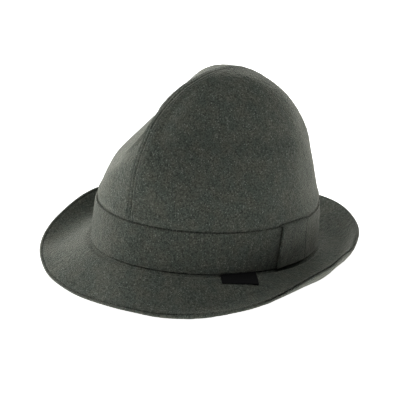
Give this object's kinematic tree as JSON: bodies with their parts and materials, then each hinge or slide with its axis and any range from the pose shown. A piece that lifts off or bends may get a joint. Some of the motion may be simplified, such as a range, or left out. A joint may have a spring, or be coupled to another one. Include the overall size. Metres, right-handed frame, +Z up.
{
  "type": "tyrolean hat",
  "caption": "Tyrolean hat of thick fulled wool with a seamed, front-pinched crown, a band of the same cloth and a brim turned down in front and up at the sides and back.",
  "frame": {"origin": "middle of the hat's outline on the surface that it stands on", "axes": "+Z up, -Y towards the front of the hat, +X towards the wearer's left"},
  "size_m": [0.2676, 0.2766, 0.1665],
  "materials": {
    "loden_cloth": "fulled wool, matt and slightly hairy",
    "woven_tape": "tightly woven, faint sheen"
  },
  "bodies": {
    "root": {"crown_left": "loden_cloth", "crown_right": "loden_cloth", "hat_band": "loden_cloth", "band_loop": "loden_cloth", "brim_upper": "loden_cloth", "brim_under": "loden_cloth", "label_tab": "woven_tape"}
  },
  "joints": []
}
